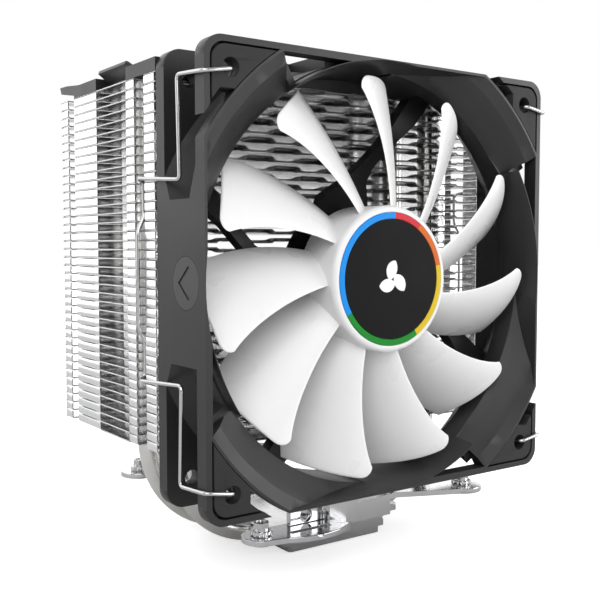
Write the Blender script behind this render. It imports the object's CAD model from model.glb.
"""Looks of a single-tower CPU cooler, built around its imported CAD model.

Sizes are millimetres in the row frame: origin at the centre of the contact face, +Y along the
air flow, +Z up. Positions in the fan are (x, depth behind the fan's front, height above the
fan's axis). The camera, the lights and the floor are placed in metres.
"""

import math

import bmesh
import bpy
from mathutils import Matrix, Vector


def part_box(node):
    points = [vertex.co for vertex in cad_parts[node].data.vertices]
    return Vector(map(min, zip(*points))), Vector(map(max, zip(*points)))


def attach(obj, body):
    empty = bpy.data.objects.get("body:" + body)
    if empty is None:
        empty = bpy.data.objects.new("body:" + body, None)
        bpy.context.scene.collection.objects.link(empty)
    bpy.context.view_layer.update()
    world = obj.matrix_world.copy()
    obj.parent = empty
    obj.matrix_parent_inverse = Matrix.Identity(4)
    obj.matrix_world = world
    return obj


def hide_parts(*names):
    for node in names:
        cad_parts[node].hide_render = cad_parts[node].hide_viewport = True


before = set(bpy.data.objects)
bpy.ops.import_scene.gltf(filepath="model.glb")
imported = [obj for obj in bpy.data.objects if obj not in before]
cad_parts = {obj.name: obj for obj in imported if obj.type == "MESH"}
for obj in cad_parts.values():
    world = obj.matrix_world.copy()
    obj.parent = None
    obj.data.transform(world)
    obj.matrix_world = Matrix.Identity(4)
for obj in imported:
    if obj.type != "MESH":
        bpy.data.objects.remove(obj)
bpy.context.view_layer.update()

MM = 0.001
scene = bpy.context.scene


# ------------------------------------------------------------- measures from the frame

def node_box(node):
    """Lowest and highest corner of a CAD node, in millimetres."""
    low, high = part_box(node)
    return Vector(low) / MM, Vector(high) / MM


# The fan: its front, its axis, and half its width, which is half the width of the fins too.
FRAME_LOW, FRAME_HIGH = node_box("fan_frame")
FAN_Y = FRAME_LOW.y
FAN_Z = (FRAME_LOW.z + FRAME_HIGH.z) / 2
HALF = FRAME_HIGH.x

# The fins: two to a node, from the lowest up.
FIN_NODES = sorted(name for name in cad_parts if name.startswith("fin_pair_"))
FIN_LOW, FIN_HIGH = node_box(FIN_NODES[0])
FIN_Y = FIN_LOW.y
FIN_Z = FIN_LOW.z
FIN_DEPTH = FIN_HIGH.y - FIN_LOW.y
FIN_PITCH = (node_box(FIN_NODES[1])[0].z - FIN_Z) / 2
FIN_T = 0.4  # thickness of the sheet
FINS = 2 * len(FIN_NODES)


def in_fan(x, depth, height):
    """A point of the fan in the row frame."""
    return Vector((x, FAN_Y + depth, FAN_Z + height))


# ------------------------------------------------------------------------- camera

def add_camera():
    data = bpy.data.cameras.new("camera")
    data.lens = 54.37
    data.sensor_width = 36
    camera = bpy.data.objects.new("camera", data)
    camera.location = (-0.1669, -0.2385, 0.0911)
    camera.rotation_euler = (math.radians(86.51), 0, math.radians(-35.27))
    scene.collection.objects.link(camera)
    scene.camera = camera


add_camera()


# ---------------------------------------------------------------------- materials

PATTERN_RANGE = (0.3, 0.7)  # the values of a noise pattern that are spread over a socket's range
PLASTIC_CLOUD = 14
PLASTIC_ROUGHNESS_SPREAD = 0.04
PLASTIC_BUMP = 0.5
METAL_CLOUD = 9
METAL_ROUGHNESS_SHARES = (0.75, 1.35)
METAL_BUMP = 0.3


def new_material(name, colour, metallic, roughness):
    """A Principled material, its node tree and its shader."""
    material = bpy.data.materials.new(name)
    material.use_nodes = True
    shader = material.node_tree.nodes["Principled BSDF"]
    shader.inputs["Base Color"].default_value = (*colour, 1)
    shader.inputs["Metallic"].default_value = metallic
    shader.inputs["Roughness"].default_value = roughness
    return material, material.node_tree, shader


def noise(tree, size, detail=3, stretch=(1, 1, 1)):
    """A noise pattern in object space with features about size millimetres wide."""
    place = tree.nodes.new("ShaderNodeTexCoord")
    mapping = tree.nodes.new("ShaderNodeMapping")
    mapping.inputs["Scale"].default_value = stretch
    texture = tree.nodes.new("ShaderNodeTexNoise")
    texture.inputs["Scale"].default_value = 1 / (size * MM)
    texture.inputs["Detail"].default_value = detail
    tree.links.new(place.outputs["Object"], mapping.inputs["Vector"])
    tree.links.new(mapping.outputs["Vector"], texture.inputs["Vector"])
    return texture.outputs["Fac"]


def vary(tree, factor, low, high, socket):
    """Varies a number socket between low and high with a pattern."""
    spread = tree.nodes.new("ShaderNodeMapRange")
    spread.inputs["From Min"].default_value = PATTERN_RANGE[0]
    spread.inputs["From Max"].default_value = PATTERN_RANGE[1]
    spread.inputs["To Min"].default_value = low
    spread.inputs["To Max"].default_value = high
    tree.links.new(factor, spread.inputs["Value"])
    tree.links.new(spread.outputs["Result"], socket)


def tint(tree, factor, dark, light, socket):
    """Varies a colour socket between two colours with a pattern."""
    ramp = tree.nodes.new("ShaderNodeValToRGB")
    ramp.color_ramp.elements[0].position = PATTERN_RANGE[0]
    ramp.color_ramp.elements[1].position = PATTERN_RANGE[1]
    ramp.color_ramp.elements[0].color = (*dark, 1)
    ramp.color_ramp.elements[1].color = (*light, 1)
    tree.links.new(factor, ramp.inputs["Fac"])
    tree.links.new(ramp.outputs["Color"], socket)


def bump(tree, factor, height, strength, shader):
    """Adds a fine relief to a shader, its height in millimetres."""
    relief = tree.nodes.new("ShaderNodeBump")
    relief.inputs["Strength"].default_value = strength
    relief.inputs["Distance"].default_value = height * MM
    tree.links.new(factor, relief.inputs["Height"])
    tree.links.new(relief.outputs["Normal"], shader.inputs["Normal"])


def shades(colour, spread):
    """A darker and a lighter version of a colour."""
    return [c * (1 - spread) for c in colour], [min(1, c * (1 + spread)) for c in colour]


def plastic(name, colour, roughness, grain=0.25, relief=0.012, spread=0.08, sheen=0.5):
    """Moulded plastic with a fine grain.

    Grain is the width of the grain's features and relief their height, spread is how far the
    colour varies, and sheen is the specular level.
    """
    material, tree, shader = new_material(name, colour, 0.0, roughness)
    shader.inputs["Specular IOR Level"].default_value = sheen
    pattern = noise(tree, grain)
    cloud = noise(tree, PLASTIC_CLOUD, 2)
    smooth = roughness - PLASTIC_ROUGHNESS_SPREAD
    rough = roughness + PLASTIC_ROUGHNESS_SPREAD
    tint(tree, cloud, *shades(colour, spread), shader.inputs["Base Color"])
    vary(tree, cloud, smooth, rough, shader.inputs["Roughness"])
    bump(tree, pattern, relief, PLASTIC_BUMP, shader)
    return material


def metal(name, colour, roughness, spread=0.05, stretch=(1, 1, 1), grain=0.6, relief=0.003):
    """Bare or plated metal with faint streaks; stretch scales their pattern along each axis."""
    material, tree, shader = new_material(name, colour, 1.0, roughness)
    streaks = noise(tree, grain, 4, stretch)
    cloud = noise(tree, METAL_CLOUD, 2)
    smooth, rough = [roughness * share for share in METAL_ROUGHNESS_SHARES]
    tint(tree, cloud, *shades(colour, spread), shader.inputs["Base Color"])
    vary(tree, streaks, smooth, rough, shader.inputs["Roughness"])
    bump(tree, streaks, relief, METAL_BUMP, shader)
    return material


FRAME_PLASTIC = plastic("frame_plastic", (0.019, 0.019, 0.0195), 0.42, sheen=0.40)
COVER_PLASTIC = plastic(
    "cover_plastic", (0.018, 0.018, 0.0185), 0.38, grain=0.4, relief=0.02, sheen=0.45)
BADGE_PLASTIC = plastic("badge_plastic", (0.034, 0.034, 0.035), 0.40, grain=0.4, relief=0.004)
PAD_RUBBER = plastic(
    "pad_rubber", (0.021, 0.021, 0.0215), 0.60, grain=0.18, relief=0.02, sheen=0.3)
BLADE_PLASTIC = plastic(
    "blade_plastic", (0.84, 0.84, 0.84), 0.30, grain=0.5, relief=0.002, spread=0.008)
DISC_PLASTIC = plastic(
    "disc_plastic", (0.004, 0.004, 0.004), 0.55, grain=0.12, relief=0.01, sheen=0.11)
PRINT_WHITE = plastic(
    "print_white", (0.86, 0.86, 0.86), 0.45, grain=0.3, relief=0.004, spread=0.01)
MAGNET = plastic("magnet_ferrite", (0.045, 0.040, 0.038), 0.7)
BOARD = plastic("board_mask", (0.012, 0.10, 0.035), 0.35)

FIN_METAL = metal(
    "fin_aluminium", (0.94, 0.94, 0.945), 0.20,
    spread=0.01, stretch=(0.15, 1, 1), grain=0.5, relief=0.001)
PIPE_METAL = metal("pipe_nickel", (0.78, 0.77, 0.75), 0.16, stretch=(1, 1, 0.2), grain=0.8)
BASE_METAL = metal("base_nickel", (0.58, 0.58, 0.58), 0.20, stretch=(0.2, 1, 1), grain=0.4)
BAR_METAL = metal(
    "bar_nickel", (0.66, 0.66, 0.67), 0.14, spread=0.04, stretch=(0.3, 1, 1), grain=0.5)
NUT_METAL = metal("nut_nickel", (0.62, 0.62, 0.63), 0.16)
WIRE_METAL = metal(
    "wire_steel", (0.60, 0.60, 0.60), 0.18, spread=0.04, stretch=(1, 1, 0.1), grain=0.5)
BRONZE = metal("sleeve_bronze", (0.62, 0.44, 0.20), 0.40)
CORE_STEEL = metal(
    "core_steel", (0.45, 0.46, 0.48), 0.38,
    spread=0.08, stretch=(1, 8, 1), grain=0.5, relief=0.02)
COPPER = metal(
    "coil_copper", (0.72, 0.33, 0.16), 0.35,
    spread=0.1, stretch=(6, 1, 6), grain=0.8, relief=0.05)
YOKE_STEEL = metal("yoke_steel", (0.56, 0.57, 0.59), 0.30)


# ------------------------------------------------------------------ mesh helpers

MERGE_GAP = 1e-6  # metres, in a mesh made here
WELD_GAP = 2e-6  # metres, in a CAD node
EDGE_ANGLE = 28  # degrees; the edges of a CAD node that turn by more are rounded


def new_piece(name, mesh, body, material, replaced=()):
    """Links a mesh as a piece that rides on a body."""
    piece = bpy.data.objects.new(name, mesh)
    scene.collection.objects.link(piece)
    mesh.materials.append(material)
    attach(piece, body)
    if replaced:
        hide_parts(*replaced)
    return piece


def build_mesh(name, points, faces, sharp_degrees=32):
    """A mesh from points in millimetres, with outward normals and smooth shading."""
    mesh = bpy.data.meshes.new(name)
    mesh.from_pydata([Vector(p) * MM for p in points], [], faces)
    work = bmesh.new()
    work.from_mesh(mesh)
    bmesh.ops.remove_doubles(work, verts=work.verts, dist=MERGE_GAP)
    bmesh.ops.recalc_face_normals(work, faces=work.faces)
    work.to_mesh(mesh)
    work.free()
    mesh.shade_smooth()
    mesh.set_sharp_from_angle(angle=math.radians(sharp_degrees))
    return mesh


def grid_faces(rows, columns, start=0, close=False):
    """Quads between rows of points; close joins the last point of a row to its first."""
    faces = []
    across = columns if close else columns - 1
    for i in range(rows - 1):
        for j in range(across):
            a = start + i * columns + j
            b = start + i * columns + (j + 1) % columns
            faces.append((a, b, b + columns, a + columns))
    return faces


def lathe(name, profile, steps):
    """A body of revolution about the fan's axis from a closed line of (radius, depth) points."""
    points = []
    for i in range(steps):
        angle = 2 * math.pi * i / steps
        for radius, depth in profile:
            points.append(in_fan(radius * math.cos(angle), depth, radius * math.sin(angle)))
    count = len(profile)
    faces = []
    for i in range(steps):
        for j in range(count):
            a = i * count + j
            b = i * count + (j + 1) % count
            c = (i + 1) % steps * count + (j + 1) % count
            d = (i + 1) % steps * count + j
            faces.append((a, b, c, d))
    return build_mesh(name, points, faces, sharp_degrees=28)


def arc(centre, radius, start, end, steps):
    """Points of an arc in a plane, angles in degrees."""
    angles = [math.radians(start + (end - start) * i / steps) for i in range(steps + 1)]
    return [(centre[0] + radius * math.cos(a), centre[1] + radius * math.sin(a)) for a in angles]


def round_edges(piece, width, segments):
    """Rounds the edges of a CAD node."""
    weld = piece.modifiers.new("weld", "WELD")
    weld.merge_threshold = WELD_GAP
    edges = piece.modifiers.new("round", "BEVEL")
    edges.width = width * MM
    edges.segments = segments
    edges.limit_method = "ANGLE"
    edges.angle_limit = math.radians(EDGE_ANGLE)
    edges.harden_normals = True
    edges.use_clamp_overlap = True


def finish_node(node, material, width=0.0, segments=2):
    """Gives a CAD node its material and, if width isn't 0, rounded edges."""
    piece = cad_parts[node]
    piece.data.materials.clear()
    piece.data.materials.append(material)
    if width:
        round_edges(piece, width, segments)


# ----------------------------------------------------------------------- impeller

# The blades.
BLADES = 11
FIRST_BLADE = 118.3  # degrees from +X
TIP_R = 56.3
LEAD_SWEEP = 15  # degrees from root to tip
TRAIL_ROOT = -26.7  # degrees at the root, counted from the leading edge
TRAIL_SWEEP = 19.6
ROOT_SUNK = 0.9  # how far a blade's root reaches into the hub
CHORD = 20  # rough width of a blade, on which its corner is laid out
LEAD_CORNER_R = 3.2
TIP_EDGE = 0.6  # length over which a blade thins to its tip
SPAN_STEPS = 22
TIP_START = 0.985  # share of the span with even steps
TIP_SPANS = [0.9905, 0.9945, 0.998, 1.0]  # the finer steps of the tip
CHORD_STEPS = 18

# The hub cup, as radii and as depths behind the fan's front.
HUB_R = 20.6
HUB_BORE_R = 18.95
HUB_FRONT = 0.8
HUB_BACK = 17
HUB_ROUND_R = 1.7
RECESS_R = 18.7
RECESS_FLOOR = 1.2
CUP_FLOOR = 2.8
SKIRT_BEVEL = 0.4
BORE_BEVEL = 0.35
FLOOR_BEVEL = 0.3
NEAR_AXIS = 0.01
HUB_STEPS = 128

# Each sector of the ring: its colour, and its start and end in degrees from +X.
RING_SECTORS = {
    "red": ((0.60, 0.022, 0.034), 87, 56),
    "orange": ((0.63, 0.125, 0.012), 56, 12),
    "yellow": ((0.66, 0.47, 0.010), 12, -60),
    "green": ((0.003, 0.22, 0.018), -60, -149),
    "blue": ((0.003, 0.245, 0.72), -149, -273),
}
RING_INNER_R = 16.82
RING_OUTER_R = 18.6
RING_FRONT = 0.74
RING_SHOULDER = 0.86
RING_BEVEL = 0.13
RING_STEP = 3  # degrees


def blade_point(t, s, side):
    """A point of a blade as (x, height, depth), on its front or back side (-1 or 1).

    t runs from root 0 to tip 1, and s from leading edge 0 to trailing edge 1.
    """
    lead = LEAD_SWEEP * t
    trail = TRAIL_ROOT + TRAIL_SWEEP * t
    corner = LEAD_CORNER_R / CHORD
    inset = 0.0
    if s < corner:
        inset = LEAD_CORNER_R * (1 - math.sqrt(1 - (1 - s / corner) ** 2)) * t ** 4
    root_r = HUB_R - ROOT_SUNK
    radius = root_r + (TIP_R - root_r) * t - inset
    angle = math.radians(lead + (trail - lead) * s)
    lead_depth = 3.6 - 0.8 * t
    trail_depth = 13.2 + 13.8 * t - 9.4 * t * t
    camber = 1.2 + 1.4 * t
    depth = lead_depth + (trail_depth - lead_depth) * s - camber * 4 * s * (1 - s)
    bulge = math.sqrt(max(0.0, s * (1 - s))) * 1.1 + 0.9 * s * (1 - s)
    thickness = (0.95 - 0.3 * t) * bulge
    tip_left = (1 - t) * (TIP_R - HUB_R) / TIP_EDGE
    if tip_left < 1:
        thickness *= math.sqrt(max(0.0, 1 - (1 - tip_left) ** 2))
    return radius * math.cos(angle), radius * math.sin(angle), depth + side * thickness


def blade_rings():
    """Closed section rings of one blade, from root to tip."""
    spans = [i / SPAN_STEPS * TIP_START for i in range(SPAN_STEPS + 1)] + TIP_SPANS
    turns = [math.pi * j / CHORD_STEPS for j in range(CHORD_STEPS + 1)]
    chord = [(1 - math.cos(turn)) / 2 for turn in turns]
    rings = []
    for t in spans:
        front = [blade_point(t, s, -1) for s in chord]
        back = [blade_point(t, s, 1) for s in reversed(chord[1:-1])]
        rings.append(front + back)
    return rings


def hub_profile():
    """Closed section of the hub cup as (radius, depth), from the front recess round to the bore."""
    lip = HUB_BORE_R - RECESS_R
    recess = [(NEAR_AXIS, RECESS_FLOOR), (RECESS_R, RECESS_FLOOR)]
    recess_edge = arc((HUB_BORE_R, HUB_FRONT + lip), lip, 180, 270, 3)
    rim = arc((HUB_R - HUB_ROUND_R, HUB_FRONT + HUB_ROUND_R), HUB_ROUND_R, -90, 0, 6)
    skirt = [
        (HUB_R, HUB_BACK - SKIRT_BEVEL), (HUB_R - SKIRT_BEVEL, HUB_BACK),
        (HUB_BORE_R + BORE_BEVEL, HUB_BACK), (HUB_BORE_R, HUB_BACK - SKIRT_BEVEL),
    ]
    bore = [
        (HUB_BORE_R, CUP_FLOOR + FLOOR_BEVEL), (HUB_BORE_R - BORE_BEVEL, CUP_FLOOR),
        (NEAR_AXIS, CUP_FLOOR),
    ]
    return recess + recess_edge + rim + skirt + bore


def ring_profile():
    """Section of the ring as (radius, depth), from the recess floor over the front and back."""
    inner = [
        (RING_INNER_R, RECESS_FLOOR), (RING_INNER_R, RING_SHOULDER),
        (RING_INNER_R + RING_BEVEL, RING_FRONT),
    ]
    outer = [
        (RING_OUTER_R - RING_BEVEL, RING_FRONT), (RING_OUTER_R, RING_SHOULDER),
        (RING_OUTER_R, RECESS_FLOOR),
    ]
    return inner + outer


def add_impeller():
    rings = blade_rings()
    count = len(rings[0])
    points = []
    faces = []
    for k in range(BLADES):
        turn = math.radians(FIRST_BLADE - 360 / BLADES * k)
        start = len(points)
        for ring in rings:
            for x, height, depth in ring:
                points.append(in_fan(
                    x * math.cos(turn) - height * math.sin(turn),
                    depth,
                    x * math.sin(turn) + height * math.cos(turn),
                ))
        faces += grid_faces(len(rings), count, start, True)
        faces.append(tuple(range(start, start + count)))
        last = start + (len(rings) - 1) * count
        faces.append(tuple(range(last + count - 1, last - 1, -1)))
    mesh = build_mesh("impeller_blades", points, faces, sharp_degrees=40)
    new_piece("impeller_blades", mesh, "rotor", BLADE_PLASTIC, ["impeller"])
    hub = lathe("impeller_hub", hub_profile(), HUB_STEPS)
    new_piece("impeller_hub", hub, "rotor", BLADE_PLASTIC)


def add_hub_ring():
    """Five coloured sectors round the disc, each a thin strip with bevelled edges."""
    section = ring_profile()
    count = len(section)
    for name, (colour, start, end) in RING_SECTORS.items():
        steps = round((start - end) / RING_STEP)
        points = []
        for i in range(steps + 1):
            angle = math.radians(start + (end - start) * i / steps)
            for radius, depth in section:
                points.append(in_fan(radius * math.cos(angle), depth, radius * math.sin(angle)))
        faces = grid_faces(steps + 1, count, 0, True)
        faces.append(tuple(range(count)))
        faces.append(tuple(range(len(points) - 1, len(points) - count - 1, -1)))
        mesh = build_mesh("hub_ring_" + name, points, faces)
        paint = plastic(
            "ring_" + name, colour, 0.4, grain=0.3, relief=0.004, spread=0.03, sheen=0.15)
        new_piece("hub_ring_" + name, mesh, "rotor", paint, ["hub_ring"])


add_impeller()
add_hub_ring()
finish_node("hub_disc", DISC_PLASTIC, 0.15)
finish_node("hub_emblem", PRINT_WHITE)


# --------------------------------------------------------------------------- fins

# Stretches of a fin's side, as depths behind its front edge.
FRONT_GROOVE = (7.0, 13.2)
OPEN_BAND = (18.2, 39.0)
REAR_GROOVE = (56.2, 61.5)
TAB_START = 1.0
CORNER_R = 3.0
CORNER_START = FIN_DEPTH - CORNER_R

# The side itself: the grooves, the folded tabs and the walls across the gaps between them.
GROOVE_DEPTH = 3.4
MARGIN_COLUMNS = (GROOVE_DEPTH, 4.1, 4.3)  # columns of the plain margin, from the side inwards
EDGE_GAP = 0.02
TAB_BEND_R = 0.55
TAB_GAP = 0.10
TAB_TOP = FIN_PITCH - FIN_T / 2 - TAB_GAP
RETURN_W = 8.0
SHEET_SHARE = 0.98  # keeps the sheet just inside the CAD fin

# The wave along the front edge: it ends at a distance from the middle, and fades over a depth.
HALF_WAVE = 9.1
WAVE_START = -32.0
WAVE_END = 50.1
WAVE_RAMP = 1.7
WAVE_HEIGHT = 0.58
END_FIN_SHARE = 0.4
WAVE_DEPTH = 7.0
WAVE_FLAT = WAVE_DEPTH * 0.35
WAVE_ROWS = (0, 1.2, 2.4, 3.6, 4.8, 6.0)

# Start and end of each stretch, and whether a tab is folded up along it.
SIDE_BANDS = (
    (0, TAB_START, False),
    (TAB_START, FRONT_GROOVE[0], True),
    (FRONT_GROOVE[1], OPEN_BAND[0], True),
    (OPEN_BAND[0], OPEN_BAND[1], False),
    (OPEN_BAND[1], REAR_GROOVE[0], True),
    (REAR_GROOVE[1], CORNER_START, True),
)


def wave(x):
    """Trapezoid wave from -1 to 1 along the front edge."""
    if abs(x) > WAVE_END:
        return 0.0
    phase = (x - WAVE_START) % (2 * HALF_WAVE)
    sign = 1 if phase < HALF_WAVE else -1
    inside = phase % HALF_WAVE
    ramp = min(1.0, inside / WAVE_RAMP * 2, (HALF_WAVE - inside) / WAVE_RAMP * 2)
    return sign * ramp


def wave_columns():
    """Places along X where the wave's slope changes, and the columns of the plain margins."""
    columns = [side * (HALF - inset) for side in (-1, 1) for inset in MARGIN_COLUMNS]
    first = math.floor((-WAVE_END - WAVE_START) / HALF_WAVE)
    last = math.floor((WAVE_END - WAVE_START) / HALF_WAVE)
    for k in range(first, last + 1):
        middle = WAVE_START + k * HALF_WAVE
        columns += [middle - WAVE_RAMP / 2, middle, middle + WAVE_RAMP / 2]
    return sorted(columns)


def fade(y):
    """How much of the wave is left at a depth behind the front edge."""
    if y <= WAVE_FLAT:
        return 1.0
    if y >= WAVE_DEPTH:
        return 0.0
    return 0.5 + 0.5 * math.cos(math.pi * (y - WAVE_FLAT) / (WAVE_DEPTH - WAVE_FLAT))


def side_strip(side, start, end, folded, z):
    """Outer strip of a fin at one side between two depths, flat or with its tab folded up."""
    edge = HALF - FIN_T / 2
    line = [(HALF - GROOVE_DEPTH, 0)]
    if folded:
        line += arc((edge - TAB_BEND_R, TAB_BEND_R), TAB_BEND_R, -90, 0, 4)
        line.append((edge, TAB_TOP))
    else:
        line.append((HALF - EDGE_GAP, 0))
    points = []
    for y in (start, end):
        for x, up in line:
            points.append((side * x, FIN_Y + y, z + up))
    return points, grid_faces(2, len(line))


def corner_strip(side, z):
    """Rear corner of a fin, rounded off."""
    inner = HALF - GROOVE_DEPTH
    outline = [(inner, CORNER_START), (HALF, CORNER_START)]
    outline += arc((HALF - CORNER_R, CORNER_START), CORNER_R, 0, 90, 5)
    outline.append((inner, FIN_DEPTH))
    points = [(side * x, FIN_Y + y, z) for x, y in outline]
    return points, [tuple(range(len(points)))]


def return_wall(side, depth, inset, z):
    """Upright wall across a fin at a depth, from inset to RETURN_W inside the fin's side."""
    y = FIN_Y + depth + FIN_T / 2
    xs = (side * (HALF - RETURN_W), side * (HALF - inset))
    points = [(x, y, z + up) for x in xs for up in (0, TAB_TOP)]
    return points, [(0, 1, 3, 2)]


def fin_parts(index):
    """Middle surface of one fin as lists of points and faces; the top fin has no tabs."""
    z = FIN_Z + index * FIN_PITCH + FIN_T / 2
    swing = WAVE_HEIGHT if index % 2 else -WAVE_HEIGHT
    if index in (0, FINS - 1):
        swing *= END_FIN_SHARE
    has_tabs = index < FINS - 1
    columns = wave_columns()
    rows = [*WAVE_ROWS, *FRONT_GROOVE, *OPEN_BAND, *REAR_GROOVE, CORNER_START, FIN_DEPTH]
    points = []
    for y in rows:
        for x in columns:
            points.append((x, FIN_Y + y, z + swing * wave(x) * fade(y)))
    parts = [(points, grid_faces(len(rows), len(columns)))]
    for side in (-1, 1):
        for start, end, folded in SIDE_BANDS:
            parts.append(side_strip(side, start, end, folded and has_tabs, z))
        parts.append(corner_strip(side, z))
        if has_tabs:
            parts.append(return_wall(side, OPEN_BAND[1], FIN_T / 2, z))
            for groove in (FRONT_GROOVE, REAR_GROOVE):
                parts.append(return_wall(side, groove[1] - FIN_T, GROOVE_DEPTH, z))
    return parts


def add_fins():
    for number, node in enumerate(FIN_NODES):
        points = []
        faces = []
        for index in (2 * number, 2 * number + 1):
            for part_points, part_faces in fin_parts(index):
                start = len(points)
                points += part_points
                faces += [tuple(start + i for i in face) for face in part_faces]
        mesh = build_mesh(node + "_sheet", points, faces, sharp_degrees=40)
        piece = new_piece(node + "_sheet", mesh, "cooler", FIN_METAL, [node])
        sheet = piece.modifiers.new("sheet", "SOLIDIFY")
        sheet.thickness = FIN_T * SHEET_SHARE * MM
        sheet.offset = 0
        piece.modifiers.new("shade", "WEIGHTED_NORMAL").keep_sharp = True


add_fins()


# ------------------------------------------------------------------------ top cover

finish_node("top_cover", COVER_PLASTIC, 0.3)


# --------------------------------------------------------------------- wire clips

WIRE_R = 0.55
WIRE_BEND_R = 1.6
WIRE_CLEARANCE = 0.3
BEND_STEPS = 6
WIRE_SIDES = 14
CAP_ANGLES = (0.35, 0.8, 1.2)
BEND_SHARE = 0.45  # the most of a stretch that a bend may take
HOLE = 52.5  # from the fan's axis, across, to a corner hole
HOOK_INSET = 1.3  # from the edge of the fins


def rounded_path(route, radius):
    """A route with each corner replaced by an arc of about the given radius."""
    path = [route[0]]
    for before, corner, after in zip(route, route[1:], route[2:]):
        back = before - corner
        ahead = after - corner
        cut = min(radius, back.length * BEND_SHARE, ahead.length * BEND_SHARE)
        start = corner + back.normalized() * cut
        end = corner + ahead.normalized() * cut
        for i in range(BEND_STEPS + 1):
            t = i / BEND_STEPS
            path.append(start * (1 - t) ** 2 + corner * 2 * t * (1 - t) + end * t * t)
    path.append(route[-1])
    return path


def clip_route(side):
    """Centre line of a clip from its upper hook to its lower hook.

    The points of a half are (x, y) in the row frame and the height above the fan's axis.
    """
    beside = HALF + WIRE_R + WIRE_CLEARANCE
    groove = HALF - HOOK_INSET
    upper = [
        (HOLE, FAN_Y + 2.6, 52), (HOLE, FAN_Y - 0.9, 52), (beside, FAN_Y - 0.9, 50.6),
        (beside, FAN_Y + 12, 51.6), (beside, FAN_Y + 11, 25.8), (beside, FIN_Y + 8.9, 27.4),
        (groove, FIN_Y + 10.3, 26.6), (groove, FIN_Y + 10.1, 17), (beside, FIN_Y + 9.6, 13.4),
    ]
    lower = [(x, y, -z) for x, y, z in reversed(upper)]
    return [Vector((side * x, y, FAN_Z + z)) for x, y, z in upper + lower]


def wire_mesh(name, path):
    """A round wire along a path, with domed ends."""
    normal = Vector((0, 0, 1))
    rings = []
    for i, here in enumerate(path):
        ahead = (path[min(i + 1, len(path) - 1)] - path[max(i - 1, 0)]).normalized()
        normal = normal - ahead * normal.dot(ahead)
        normal.normalize()
        rings.append((here, ahead, normal.copy(), 1.0))
    first, last = rings[0], rings[-1]
    caps = [(math.sin(a), math.cos(a)) for a in CAP_ANGLES]
    start = [(first[0] - first[1] * WIRE_R * c, first[1], first[2], s) for s, c in caps]
    end = [(last[0] + last[1] * WIRE_R * c, last[1], last[2], s) for s, c in reversed(caps)]
    rings = start + rings + end
    points = []
    for here, ahead, normal, size in rings:
        other = ahead.cross(normal)
        for j in range(WIRE_SIDES):
            angle = 2 * math.pi * j / WIRE_SIDES
            offset = normal * math.cos(angle) + other * math.sin(angle)
            points.append(here + offset * WIRE_R * size)
    faces = grid_faces(len(rings), WIRE_SIDES, 0, True)
    faces.append(tuple(range(WIRE_SIDES)))
    faces.append(tuple(range(len(points) - 1, len(points) - WIRE_SIDES - 1, -1)))
    return build_mesh(name, points, faces, sharp_degrees=60)


def add_clips():
    for name, side in (("left", -1), ("right", 1)):
        piece = "clip_wire_" + name
        node = "wire_clip_" + name
        mesh = wire_mesh(piece, rounded_path(clip_route(side), WIRE_BEND_R))
        new_piece(piece, mesh, "clip_" + name, WIRE_METAL, [node])


add_clips()


# ------------------------------------------------------ nodes with their CAD shape

finish_node("fan_frame", FRAME_PLASTIC, 0.25)
for corner in ("top_left", "top_right", "bottom_right", "bottom_left"):
    finish_node("corner_pad_" + corner, PAD_RUBBER, 0.2)
finish_node("flow_badge", BADGE_PLASTIC, 0.12)
finish_node("motor_cap", COVER_PLASTIC, 0.2)
finish_node("contact_block", BASE_METAL, 0.2)
finish_node("base_clamp", BASE_METAL, 0.2)
for row in ("front", "middle", "rear"):
    finish_node("heat_pipe_" + row, PIPE_METAL)
for end in ("front", "rear"):
    finish_node("mount_arm_" + end, BAR_METAL, 0.25)
    finish_node("cross_bar_" + end, BAR_METAL, 0.25)
    for hand in ("left", "right"):
        finish_node("mount_nut_" + end + "_" + hand, NUT_METAL, 0.15)
finish_node("bar_coupling_screws", NUT_METAL, 0.3)
finish_node("base_screws", NUT_METAL, 0.2)
finish_node("fan_shaft", NUT_METAL)
finish_node("shaft_clip", BLADE_PLASTIC)
finish_node("bearing_sleeve", BRONZE)
finish_node("stator_core", CORE_STEEL)
finish_node("stator_coils", COPPER, 0.5, 3)
finish_node("motor_board", BOARD)
finish_node("rotor_yoke", YOKE_STEEL)
finish_node("rotor_magnet", MAGNET)


# -------------------------------------------------------------------------- stage

WHITE = (1, 1, 1, 1)
FLOOR_HALF = 3.0
FLOOR_Z = -0.0002
PAPER_COLOUR = (0.75, 0.75, 0.75)
PAPER_GLOW = 0.6
TABLE_COLOUR = (0.58, 0.58, 0.58, 1)
LIGHT_TARGET = (0, 0, 0.08)
ROOM_STRENGTH = (0.42, 1.5)  # in front of the object and behind it
ROOM_TURN = (-0.15, 0.45)  # range of a direction's Y over which the strength changes
BACKDROP_STRENGTH = 1.0


def floor_material():
    """Pale paper for the camera; reflections and bounced light see a darker table."""
    material, tree, paper = new_material("floor_paper", PAPER_COLOUR, 0.0, 0.7)
    paper.inputs["Emission Color"].default_value = WHITE
    paper.inputs["Emission Strength"].default_value = PAPER_GLOW
    table = tree.nodes.new("ShaderNodeBsdfDiffuse")
    table.inputs["Color"].default_value = TABLE_COLOUR
    rays = tree.nodes.new("ShaderNodeLightPath")
    mix = tree.nodes.new("ShaderNodeMixShader")
    tree.links.new(rays.outputs["Is Camera Ray"], mix.inputs["Fac"])
    tree.links.new(table.outputs["BSDF"], mix.inputs[1])
    tree.links.new(paper.outputs["BSDF"], mix.inputs[2])
    tree.links.new(mix.outputs["Shader"], tree.nodes["Material Output"].inputs["Surface"])
    return material


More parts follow.
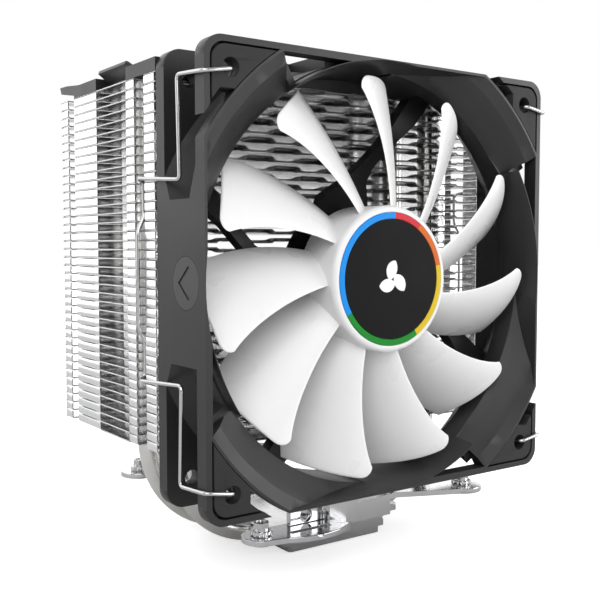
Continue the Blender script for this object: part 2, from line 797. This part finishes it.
def add_floor():
    mesh = bpy.data.meshes.new("floor")
    signs = [(-1, -1), (1, -1), (1, 1), (-1, 1)]
    corners = [(x * FLOOR_HALF, y * FLOOR_HALF, FLOOR_Z) for x, y in signs]
    mesh.from_pydata(corners, [], [(0, 1, 2, 3)])
    mesh.materials.append(floor_material())
    floor = bpy.data.objects.new("floor", mesh)
    scene.collection.objects.link(floor)


def add_area_light(name, place, width, height, power):
    data = bpy.data.lights.new(name, "AREA")
    data.shape = "RECTANGLE"
    data.size = width
    data.size_y = height
    data.energy = power
    light = bpy.data.objects.new(name, data)
    light.location = place
    aim = Vector(LIGHT_TARGET) - Vector(place)
    light.rotation_euler = aim.to_track_quat("-Z", "Y").to_euler()
    scene.collection.objects.link(light)


def add_lights():
    add_area_light("key", (-0.55, -0.80, 0.70), width=1.1, height=0.9, power=7.4)
    add_area_light("fill", (0.75, -0.70, 0.06), width=0.8, height=0.9, power=9.5)


def set_world():
    """A white backdrop behind the object and a dimmer room in front of it."""
    world = bpy.data.worlds.new("studio")
    world.use_nodes = True
    tree = world.node_tree
    room = tree.nodes["Background"]
    room.inputs["Color"].default_value = WHITE
    place = tree.nodes.new("ShaderNodeTexCoord")
    axes = tree.nodes.new("ShaderNodeSeparateXYZ")
    spread = tree.nodes.new("ShaderNodeMapRange")
    spread.interpolation_type = "SMOOTHSTEP"
    spread.inputs["From Min"].default_value = ROOM_TURN[0]
    spread.inputs["From Max"].default_value = ROOM_TURN[1]
    spread.inputs["To Min"].default_value = ROOM_STRENGTH[0]
    spread.inputs["To Max"].default_value = ROOM_STRENGTH[1]
    tree.links.new(place.outputs["Generated"], axes.inputs["Vector"])
    tree.links.new(axes.outputs["Y"], spread.inputs["Value"])
    tree.links.new(spread.outputs["Result"], room.inputs["Strength"])
    backdrop = tree.nodes.new("ShaderNodeBackground")
    backdrop.inputs["Color"].default_value = WHITE
    backdrop.inputs["Strength"].default_value = BACKDROP_STRENGTH
    rays = tree.nodes.new("ShaderNodeLightPath")
    mix = tree.nodes.new("ShaderNodeMixShader")
    tree.links.new(rays.outputs["Is Camera Ray"], mix.inputs["Fac"])
    tree.links.new(room.outputs["Background"], mix.inputs[1])
    tree.links.new(backdrop.outputs["Background"], mix.inputs[2])
    tree.links.new(mix.outputs["Shader"], tree.nodes["World Output"].inputs["Surface"])
    scene.world = world


def set_view():
    """Colours without a film look."""
    scene.view_settings.view_transform = "Standard"
    scene.view_settings.look = "None"


add_floor()
add_lights()
set_world()
set_view()
